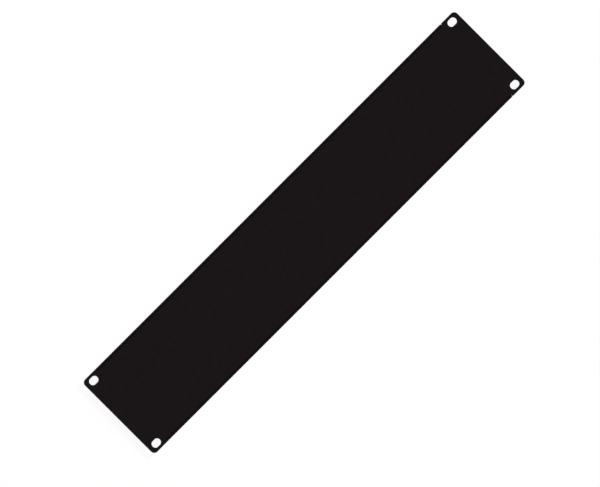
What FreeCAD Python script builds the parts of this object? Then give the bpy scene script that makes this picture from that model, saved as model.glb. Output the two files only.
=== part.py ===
"""Two-unit blanking panel for a 19-inch equipment rack, folded from one steel sheet.

The flat front closes two rack units. At each end it runs on as a flat ear, which lies on the rack's rail
and takes two screws through slots. Between the ears both long edges are folded back into stiffening
flanges, and a thin relief slit parts each end of a fold from the ear beside it.

The panel lies front up, as it rests on a bench on the free edges of its flanges. X runs along its width
and Y along its height as mounted, and Z is the outward normal of the front. The origin is the centre of
the rectangle that it covers, in the plane of the flanges' free edges. Lengths are in millimetres.

Left and right are alike, and so are top and bottom, so one quarter is drawn and mirrored twice.
"""

import FreeCAD, Part
import os
from enum import IntEnum
from math import isclose, pi
from types import SimpleNamespace

import Sketcher

# The driving sizes: alias, millimetres, meaning.
SIZES = [
    ("panel_width", 482.6, "end to end, the width of a 19-inch rack"),
    ("panel_height", 88.1, "two rack units, less the gap to the next panel"),
    ("corner_radius", 4.0, "outer corners of the ears"),
    ("sheet_thickness", 1.5, "steel sheet"),
    ("bend_inner_radius", 1.5, "inside of each fold"),
    ("flange_depth", 12.0, "front face to the free edge of a flange"),
    ("flange_corner_radius", 3.0, "free corners of the flanges"),
    ("ear_width", 17.3, "panel's end to the end of the folds"),
    ("relief_width", 0.3, "slit along the panel between a fold and its ear"),
    ("relief_overrun", 0.5, "how far the relief reaches past the bend"),
    ("slot_length", 9.5, "end to end, along the panel"),
    ("slot_width", 6.5, "clearance for an M6 screw"),
    ("slot_end_inset", 8.75, "slot's centre to the panel's end"),
    ("slot_edge_inset", 5.95, "slot's centre to the panel's long edge"),
]

# Expressions over the sheet's cells that more than one feature uses.
HALF_WIDTH = "Sizes.panel_width / 2"
HALF_HEIGHT = "Sizes.panel_height / 2"
FOLD_END = "Sizes.panel_width / 2 - Sizes.ear_width"

TOLERANCE = 1e-6


class Point(IntEnum):
    """Sketcher's numbers for the points of a piece."""

    START = 1
    END = 2
    CENTRE = 3


class Axis(IntEnum):
    """Sketcher's numbers for a sketch's own axes, both of which start at its origin."""

    HORIZONTAL = -1
    VERTICAL = -2


ORIGIN = (Axis.HORIZONTAL, Point.START)


def make_sheet(doc):
    """The spreadsheet with the driving sizes, and the same sizes as plain numbers."""
    sheet = doc.addObject("Spreadsheet::Sheet", "Sizes")
    for row, (alias, value, meaning) in enumerate(SIZES, start=1):
        sheet.set(f"A{row}", alias)
        sheet.set(f"B{row}", str(value))
        sheet.set(f"C{row}", meaning)
        sheet.setAlias(f"B{row}", alias)
    doc.recompute()
    return SimpleNamespace(**{alias: float(sheet.get(alias)) for alias, value, meaning in SIZES})


def origin_plane(body, role):
    """The body's own origin plane of that role."""
    return next(plane for plane in body.Origin.OriginFeatures if plane.Role == role)


def make_sketch(body, name, role, height=None):
    """A sketch on one of the body's origin planes, or at a height above it."""
    sketch = body.newObject("Sketcher::SketchObject", name)
    sketch.AttachmentSupport = (origin_plane(body, role), [""])
    sketch.MapMode = "FlatFace"
    if height:
        sketch.setExpression("AttachmentOffset.Base.z", height)
    return sketch


def line(start, end):
    """A straight piece between two points."""
    return Part.LineSegment(FreeCAD.Vector(*start, 0), FreeCAD.Vector(*end, 0))


def arc(centre, radius, first, last):
    """A round piece, anticlockwise from the first angle to the last, counted in quarter turns."""
    circle = Part.Circle(FreeCAD.Vector(*centre, 0), FreeCAD.Vector(0, 0, 1), radius)
    return Part.ArcOfCircle(circle, first * pi / 2, last * pi / 2)


def tie(sketch, kind, *places):
    """Add a constraint that has no size."""
    sketch.addConstraint(Sketcher.Constraint(kind, *places))


def join(sketch, here, there):
    """Tie two pieces where they meet: smoothly at an arc, or corner to corner between lines."""
    smooth = any(isinstance(sketch.Geometry[piece], Part.ArcOfCircle) for piece in (here, there))
    for end in (Point.START, Point.END):
        for other in (Point.START, Point.END):
            gap = sketch.getPoint(here, end).distanceToPoint(sketch.getPoint(there, other))
            if gap < TOLERANCE:
                tie(sketch, "Tangent" if smooth else "Coincident", here, end, there, other)


def add_outline(sketch, pieces):
    """Add a closed outline of arcs and of lines along the sketch's axes, and give its piece numbers."""
    numbers = [sketch.addGeometry(piece, False) for piece in pieces]
    for number, piece in zip(numbers, pieces):
        if isinstance(piece, Part.LineSegment):
            level = abs(piece.EndPoint.y - piece.StartPoint.y) < TOLERANCE
            tie(sketch, "Horizontal" if level else "Vertical", number)
    for here, there in zip(numbers, numbers[1:] + numbers[:1]):
        join(sketch, here, there)
    return numbers


def drive(sketch, name, constraint, expression):
    """Add a named constraint whose size comes from the sheet."""
    number = sketch.addConstraint(constraint)
    sketch.renameConstraint(number, name)
    sketch.setExpression(f"Constraints.{name}", expression)


def drive_across(sketch, name, first, second, expression):
    """Drive how far the second point lies to the right of the first."""
    span = sketch.getPoint(*second).x - sketch.getPoint(*first).x
    drive(sketch, name, Sketcher.Constraint("DistanceX", *first, *second, span), expression)


def drive_up(sketch, name, first, second, expression):
    """Drive how far the second point lies above the first."""
    span = sketch.getPoint(*second).y - sketch.getPoint(*first).y
    drive(sketch, name, Sketcher.Constraint("DistanceY", *first, *second, span), expression)


def drive_radius(sketch, name, piece, expression):
    """Drive the radius of an arc."""
    radius = sketch.Geometry[piece].Radius
    drive(sketch, name, Sketcher.Constraint("Radius", piece, radius), expression)


def fold_section(body, size):
    """Half of the folded sheet's section, from the middle of the front to a flange's free edge."""
    edge = size.panel_height / 2
    inside = edge - size.sheet_thickness
    front = size.flange_depth
    back = front - size.sheet_thickness
    outer_radius = size.bend_inner_radius + size.sheet_thickness
    bend = (edge - outer_radius, front - outer_radius)

    sketch = make_sketch(body, "FoldSection", "YZ_Plane")
    _, inner_bend, _, free_edge, outer_leg, outer_bend, top, middle = add_outline(sketch, [
        line((0, back), (bend[0], back)),
        arc(bend, size.bend_inner_radius, 0, 1),
        line((inside, bend[1]), (inside, 0)),
        line((inside, 0), (edge, 0)),
        line((edge, 0), (edge, bend[1])),
        arc(bend, outer_radius, 0, 1),
        line((bend[0], front), (0, front)),
        line((0, front), (0, back)),
    ])
    tie(sketch, "Coincident", inner_bend, Point.CENTRE, outer_bend, Point.CENTRE)
    tie(sketch, "PointOnObject", middle, Point.START, Axis.VERTICAL)
    tie(sketch, "PointOnObject", free_edge, Point.START, Axis.HORIZONTAL)
    drive_across(sketch, "half_height", ORIGIN, (outer_leg, Point.START), HALF_HEIGHT)
    drive_up(sketch, "depth", ORIGIN, (top, Point.START), "Sizes.flange_depth")
    drive_across(sketch, "thickness", (free_edge, Point.START), (free_edge, Point.END),
                 "Sizes.sheet_thickness")
    drive_radius(sketch, "inner_radius", inner_bend, "Sizes.bend_inner_radius")
    return sketch


def ear_outline(body, size):
    """Half of one ear's outline, from the panel's centre line to its long edge, with its relief."""
    edge = size.panel_height / 2
    outer_end = size.panel_width / 2
    fold_end = outer_end - size.ear_width
    relief_side = fold_end + size.relief_width
    relief_floor = edge - size.bend_inner_radius - size.sheet_thickness - size.relief_overrun
    corner = (outer_end - size.corner_radius, edge - size.corner_radius)

    sketch = make_sketch(body, "EarOutline", "XY_Plane", "Sizes.flange_depth - Sizes.sheet_thickness")
    middle, end, rounding, long_edge, side, floor, _ = add_outline(sketch, [
        line((fold_end, 0), (outer_end, 0)),
        line((outer_end, 0), (outer_end, corner[1])),
        arc(corner, size.corner_radius, 0, 1),
        line((corner[0], edge), (relief_side, edge)),
        line((relief_side, edge), (relief_side, relief_floor)),
        line((relief_side, relief_floor), (fold_end, relief_floor)),
        line((fold_end, relief_floor), (fold_end, 0)),
    ])
    tie(sketch, "PointOnObject", middle, Point.START, Axis.HORIZONTAL)
    drive_across(sketch, "half_width", ORIGIN, (end, Point.START), HALF_WIDTH)
    drive_up(sketch, "half_height", ORIGIN, (long_edge, Point.START), HALF_HEIGHT)
    drive_across(sketch, "ear_width", (middle, Point.START), (middle, Point.END), "Sizes.ear_width")
    drive_across(sketch, "relief_width", (floor, Point.END), (floor, Point.START), "Sizes.relief_width")
    drive_up(sketch, "relief_depth", (side, Point.END), (side, Point.START),
             "Sizes.bend_inner_radius + Sizes.sheet_thickness + Sizes.relief_overrun")
    drive_radius(sketch, "corner_radius", rounding, "Sizes.corner_radius")
    return sketch


def slot_outline(body, size):
    """One screw slot, level with the front face."""
    centre_x = size.panel_width / 2 - size.slot_end_inset
    centre_y = size.panel_height / 2 - size.slot_edge_inset
    radius = size.slot_width / 2
    reach = size.slot_length / 2 - radius
    near, far = centre_x - reach, centre_x + reach

    sketch = make_sketch(body, "SlotOutline", "XY_Plane", "Sizes.flange_depth")
    lower, far_end, _, near_end = add_outline(sketch, [
        line((near, centre_y - radius), (far, centre_y - radius)),
        arc((far, centre_y), radius, -1, 1),
        line((far, centre_y + radius), (near, centre_y + radius)),
        arc((near, centre_y), radius, 1, 3),
    ])
    middle = sketch.addGeometry(Part.Point(FreeCAD.Vector(centre_x, centre_y, 0)), True)
    tie(sketch, "Symmetric", near_end, Point.CENTRE, far_end, Point.CENTRE, middle, Point.START)
    drive_across(sketch, "centre_x", ORIGIN, (middle, Point.START), f"{HALF_WIDTH} - Sizes.slot_end_inset")
    drive_up(sketch, "centre_y", ORIGIN, (middle, Point.START), f"{HALF_HEIGHT} - Sizes.slot_edge_inset")
    drive_across(sketch, "straight", (lower, Point.START), (lower, Point.END),
                 "Sizes.slot_length - Sizes.slot_width")
    drive_radius(sketch, "end_radius", far_end, "Sizes.slot_width / 2")
    return sketch


def pad(body, name, sketch, length):
    """A prism on a sketch, along the sketch's normal."""
    feature = body.newObject("PartDesign::Pad", name)
    feature.Profile = sketch
    feature.setExpression("Length", length)
    return feature


def mirror_quarter(body, features):
    """Repeat the quarter's features beyond the panel's two centre planes."""
    mirrors = []
    for name, role in (("OtherLongEdge", "XZ_Plane"), ("OtherEnd", "YZ_Plane")):
        step = body.Document.addObject("PartDesign::Mirrored", name)
        step.MirrorPlane = (origin_plane(body, role), [""])
        mirrors.append(step)
    whole = body.newObject("PartDesign::MultiTransform", "WholePanel")
    whole.Originals = features
    whole.Transformations = mirrors
    body.Tip = whole
    return whole


def edge_at(shape, middle):
    """The name of the edge whose middle is at a point."""
    for number, edge in enumerate(shape.Edges, start=1):
        if edge.CenterOfMass.distanceToPoint(middle) < TOLERANCE:
            return f"Edge{number}"
    raise ValueError(f"no edge has its middle at {middle}")


def flange_corners(shape, size):
    """The names of the four edges at the flanges' free corners."""
    x = size.panel_width / 2 - size.ear_width
    y = size.panel_height / 2 - size.sheet_thickness / 2
    return [edge_at(shape, FreeCAD.Vector(end * x, side * y, 0)) for end in (-1, 1) for side in (-1, 1)]


def make_panel(doc, size):
    """The panel: folded front and flanges, ears, slots."""
    body = doc.addObject("PartDesign::Body", "BlankingPanel")
    body.Label = "blanking_panel"
    body.Placement = FreeCAD.Placement(FreeCAD.Vector(0, 0, 0), FreeCAD.Rotation())

    fold = pad(body, "Fold", fold_section(body, size), FOLD_END)
    ear = pad(body, "Ear", ear_outline(body, size), "Sizes.sheet_thickness")
    slot = body.newObject("PartDesign::Pocket", "Slot")
    slot.Profile = slot_outline(body, size)
    slot.Type = "ThroughAll"
    whole = mirror_quarter(body, [fold, ear, slot])
    doc.recompute()

    rounding = body.newObject("PartDesign::Fillet", "FlangeCorners")
    rounding.Base = (whole, flange_corners(whole.Shape, size))
    rounding.setExpression("Radius", "Sizes.flange_corner_radius")
    doc.recompute()

    assert ear.Shape.Volume > fold.Shape.Volume, "the ear adds nothing"
    assert slot.Shape.Volume < ear.Shape.Volume, "the slot cuts nothing"
    assert isclose(whole.Shape.Volume, 4 * slot.Shape.Volume), "the panel isn't four quarters"
    assert rounding.Shape.Volume < whole.Shape.Volume, "the flange corners are still square"
    return body


def check_document(doc):
    """Every object has recomputed, and every sketch is fully constrained."""
    for item in doc.Objects:
        for flag in ("Invalid", "Error"):
            assert flag not in item.State, f"{item.Name} is {flag}"
        if item.TypeId == "Sketcher::SketchObject":
            assert item.FullyConstrained, f"{item.Name} is not fully constrained"


def export(body):
    """Write the body to the file that its label names."""
    shape = body.Shape
    assert not shape.isNull() and shape.isValid(), f"{body.Label} has no valid shape"
    assert len(shape.Solids) == 1, f"{body.Label} is not one solid"
    shape.exportStep(f"parts/{body.Label}.step")


os.makedirs("parts", exist_ok=True)
document = FreeCAD.newDocument("RackBlankingPanel")
sizes = make_sheet(document)
panel = make_panel(document, sizes)
check_document(document)
export(panel)
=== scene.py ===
"""Looks of a powder-coated steel rack blanking panel, lying front up on a white table."""

from math import cos, pi, radians, sin

import bmesh
import bpy
from mathutils import Matrix, Vector


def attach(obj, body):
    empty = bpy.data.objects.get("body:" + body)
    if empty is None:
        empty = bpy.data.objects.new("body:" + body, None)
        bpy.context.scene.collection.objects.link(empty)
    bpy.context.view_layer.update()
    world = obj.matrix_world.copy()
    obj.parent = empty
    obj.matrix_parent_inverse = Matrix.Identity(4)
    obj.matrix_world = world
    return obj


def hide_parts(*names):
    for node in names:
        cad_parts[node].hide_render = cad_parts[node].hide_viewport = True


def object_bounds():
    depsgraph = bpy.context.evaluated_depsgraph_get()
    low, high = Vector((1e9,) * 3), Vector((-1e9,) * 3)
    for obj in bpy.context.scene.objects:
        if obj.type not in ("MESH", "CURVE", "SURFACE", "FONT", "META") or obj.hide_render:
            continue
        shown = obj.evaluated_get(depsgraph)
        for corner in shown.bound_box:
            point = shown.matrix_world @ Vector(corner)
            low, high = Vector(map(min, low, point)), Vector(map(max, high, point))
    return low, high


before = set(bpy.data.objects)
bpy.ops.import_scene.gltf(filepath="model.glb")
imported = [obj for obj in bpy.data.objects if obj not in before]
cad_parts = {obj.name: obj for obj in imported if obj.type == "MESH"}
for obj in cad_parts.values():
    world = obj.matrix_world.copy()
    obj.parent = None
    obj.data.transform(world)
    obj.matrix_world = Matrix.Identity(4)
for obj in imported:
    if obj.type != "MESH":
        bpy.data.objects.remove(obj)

NODE = "blanking_panel"
MM = 0.001

# Camera: parallel projection, leaning from straight above towards the panel's left end, and
# turned so that the panel runs from the lower left of the picture to the upper right.
LEAN = radians(20.05)
TURN = radians(45.0)
VIEW_WIDTH = 0.5172
PAN_RIGHT, PAN_UP = -3.8 * MM, -9.6 * MM
CAMERA_DISTANCE = 2.0

# Coated steel edges are never sharp: the coat draws back from a cut edge and rounds it.
EDGE_ROUNDING = 0.15 * MM
EDGE_STEPS = 3
SHARP_EDGE = radians(40)

# Joining of the solid's facets, and how much large faces count in the shading of their edges.
WELD = 0.001 * MM
FLAT_JOIN = radians(1)
LARGE_FACE_WEIGHT = 100

# Coat: colour, the least and greatest roughness, sheen, and the waves of its surface.
COAT_COLOUR = (0.0058, 0.0036, 0.0041, 1)
COAT_ROUGHNESS = (0.34, 0.44)
COAT_SPECULAR = 0.026
COAT_SHEEN_TINT = (0.35, 0.35, 0.35, 1)
PEEL_SIZE, PEEL_DEPTH = 3.0 * MM, 0.040 * MM
GRAIN_SIZE, GRAIN_DEPTH = 0.6 * MM, 0.09 * MM
GLOSS_SIZE = 6.0 * MM
GLOSS_DETAIL, WAVE_DETAIL = 4, 1

# White table: the share of its white that takes the shadow, and how much light it sends back.
WHITE = (1, 1, 1, 1)
FLOOR_SIDE = 30.0
FLOOR_SHARE = 0.055
FLOOR_BOUNCE = 0.8

# Light: each level is what that light adds to a white sheet that faces it.
WORLD_LEVEL = 0.25
SOFTBOX_LEVEL = 0.8
SOFTBOX_SIDE = 1.6
SOFTBOX_DISTANCE = 6.0
SOFTBOX_DIRECTION = (0.32, 0, 1)

cad_low, cad_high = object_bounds()


def rounded_panel(node):
    """The folded sheet of the CAD node with every cut edge rounded, as one closed mesh."""
    mesh = bpy.data.meshes.new("coated_panel")
    form = bmesh.new()
    form.from_mesh(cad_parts[node].data)
    bmesh.ops.remove_doubles(form, verts=form.verts, dist=WELD)
    bmesh.ops.dissolve_limit(form, angle_limit=FLAT_JOIN, verts=form.verts, edges=form.edges)
    cut = [edge for edge in form.edges if edge.calc_face_angle_signed() > SHARP_EDGE]
    bmesh.ops.bevel(form, geom=cut, affect="EDGES", offset=EDGE_ROUNDING,
                    segments=EDGE_STEPS, profile=0.5, clamp_overlap=True)
    for face in form.faces:
        face.smooth = True
    form.to_mesh(mesh)
    form.free()
    panel = bpy.data.objects.new("coated_panel", mesh)
    bpy.context.scene.collection.objects.link(panel)
    normals = panel.modifiers.new("face_weighted_normals", "WEIGHTED_NORMAL")
    normals.mode = "FACE_AREA"
    normals.weight = LARGE_FACE_WEIGHT
    normals.keep_sharp = False
    return panel


class Nodes:
    """Empties a material's or world's tree, then adds nodes to it and links their sockets."""

    def __init__(self, owner):
        owner.use_nodes = True
        self.tree = owner.node_tree
        self.tree.nodes.clear()

    def add(self, kind, **settings):
        node = self.tree.nodes.new(kind)
        for name, value in settings.items():
            setattr(node, name, value)
        return node

    def link(self, source, target):
        self.tree.links.new(source, target)


def powder_coat():
    """Near-black satin powder coat: slow orange peel, a fine grain and an uneven gloss."""
    material = bpy.data.materials.new("powder_coat_black")
    nodes = Nodes(material)
    output = nodes.add("ShaderNodeOutputMaterial")
    coat = nodes.add("ShaderNodeBsdfPrincipled")
    coat.inputs["Base Color"].default_value = COAT_COLOUR
    coat.inputs["Specular IOR Level"].default_value = COAT_SPECULAR
    coat.inputs["Specular Tint"].default_value = COAT_SHEEN_TINT
    nodes.link(coat.outputs["BSDF"], output.inputs["Surface"])
    place = nodes.add("ShaderNodeTexCoord")

    def noise(size, detail):
        texture = nodes.add("ShaderNodeTexNoise")
        texture.inputs["Scale"].default_value = 1 / size
        texture.inputs["Detail"].default_value = detail
        nodes.link(place.outputs["Object"], texture.inputs["Vector"])
        return texture.outputs["Fac"]

    gloss = nodes.add("ShaderNodeMapRange")
    gloss.inputs["To Min"].default_value, gloss.inputs["To Max"].default_value = COAT_ROUGHNESS
    nodes.link(noise(GLOSS_SIZE, GLOSS_DETAIL), gloss.inputs["Value"])
    nodes.link(gloss.outputs["Result"], coat.inputs["Roughness"])
    normal = None
    for size, depth in ((PEEL_SIZE, PEEL_DEPTH), (GRAIN_SIZE, GRAIN_DEPTH)):
        bump = nodes.add("ShaderNodeBump")
        bump.inputs["Distance"].default_value = depth
        nodes.link(noise(size, WAVE_DETAIL), bump.inputs["Height"])
        if normal:
            nodes.link(normal, bump.inputs["Normal"])
        normal = bump.outputs["Normal"]
    nodes.link(normal, coat.inputs["Normal"])
    return material


def seen_white(nodes):
    """1 for the rays that show the white surroundings: camera, glossy and transmission rays."""
    path = nodes.add("ShaderNodeLightPath")
    seen = path.outputs["Is Camera Ray"]
    for ray in ("Is Glossy Ray", "Is Transmission Ray"):
        either = nodes.add("ShaderNodeMath", operation="MAXIMUM")
        nodes.link(seen, either.inputs[0])
        nodes.link(path.outputs[ray], either.inputs[1])
        seen = either.outputs["Value"]
    return seen


def make_floor(height):
    """A large white table top that takes the panel's shadow and lights its sides."""
    bpy.ops.mesh.primitive_plane_add(size=FLOOR_SIDE, location=(0, 0, height))
    floor = bpy.context.object
    floor.name = "floor"
    material = bpy.data.materials.new("white_table")
    nodes = Nodes(material)

    def matt(level):
        shader = nodes.add("ShaderNodeBsdfDiffuse")
        shader.inputs["Color"].default_value = (level,) * 3 + (1,)
        return shader.outputs["BSDF"]

    glow = nodes.add("ShaderNodeEmission")
    glow.inputs["Strength"].default_value = 1 - FLOOR_SHARE
    shown = nodes.add("ShaderNodeAddShader")
    nodes.link(matt(FLOOR_SHARE), shown.inputs[0])
    nodes.link(glow.outputs["Emission"], shown.inputs[1])
    surface = nodes.add("ShaderNodeMixShader")
    nodes.link(seen_white(nodes), surface.inputs[0])
    nodes.link(matt(FLOOR_BOUNCE), surface.inputs[1])
    nodes.link(shown.outputs["Shader"], surface.inputs[2])
    output = nodes.add("ShaderNodeOutputMaterial")
    nodes.link(surface.outputs["Shader"], output.inputs["Surface"])
    floor.data.materials.append(material)


def make_world(level):
    """Even light of the given level from all round, with white shown behind."""
    world = bpy.data.worlds.new("studio")
    bpy.context.scene.world = world
    nodes = Nodes(world)
    output = nodes.add("ShaderNodeOutputWorld")
    background = nodes.add("ShaderNodeBackground")
    background.inputs["Color"].default_value = WHITE
    strength = nodes.add("ShaderNodeMapRange")
    strength.inputs["To Min"].default_value = level
    strength.inputs["To Max"].default_value = 1
    nodes.link(seen_white(nodes), strength.inputs["Value"])
    nodes.link(strength.outputs["Result"], background.inputs["Strength"])
    nodes.link(background.outputs["Background"], output.inputs["Surface"])


def add_softbox(name, target, direction, distance, side, level):
    """A square area lamp that faces the target from the given direction and distance."""
    lamp = bpy.data.lights.new(name, "AREA")
    lamp.shape = "SQUARE"
    lamp.size = side
    lamp.energy = level * pi * pi * distance ** 2
    lamp_object = bpy.data.objects.new(name, lamp)
    bpy.context.scene.collection.objects.link(lamp_object)
    towards = Vector(direction).normalized()
    lamp_object.location = target + towards * distance
    lamp_object.rotation_euler = towards.to_track_quat("Z", "Y").to_euler()
    lamp_object.visible_camera = False


def make_camera(target):
    """A camera with parallel projection that looks down on the front face."""
    camera = bpy.data.objects.new("camera", bpy.data.cameras.new("camera"))
    bpy.context.scene.collection.objects.link(camera)
    camera.data.type = "ORTHO"
    camera.data.ortho_scale = VIEW_WIDTH
    along, across = Vector((cos(LEAN), 0, sin(LEAN))), Vector((0, 1, 0))
    right = along * cos(TURN) - across * sin(TURN)
    up = along * sin(TURN) + across * cos(TURN)
    back = right.cross(up)
    place = target + right * PAN_RIGHT + up * PAN_UP + back * CAMERA_DISTANCE
    axes = Matrix((right, up, back)).transposed().to_4x4()
    camera.matrix_world = Matrix.Translation(place) @ axes
    bpy.context.scene.camera = camera


centre = (cad_low + cad_high) / 2
make_camera(Vector((centre.x, centre.y, cad_high.z)))

panel = rounded_panel(NODE)
panel.data.materials.append(powder_coat())
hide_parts(NODE)
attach(panel, "root")

make_floor(cad_low.z)
make_world(WORLD_LEVEL)
add_softbox("overhead_softbox", centre, SOFTBOX_DIRECTION, SOFTBOX_DISTANCE, SOFTBOX_SIDE,
            SOFTBOX_LEVEL)
bpy.context.scene.view_settings.view_transform = "Standard"
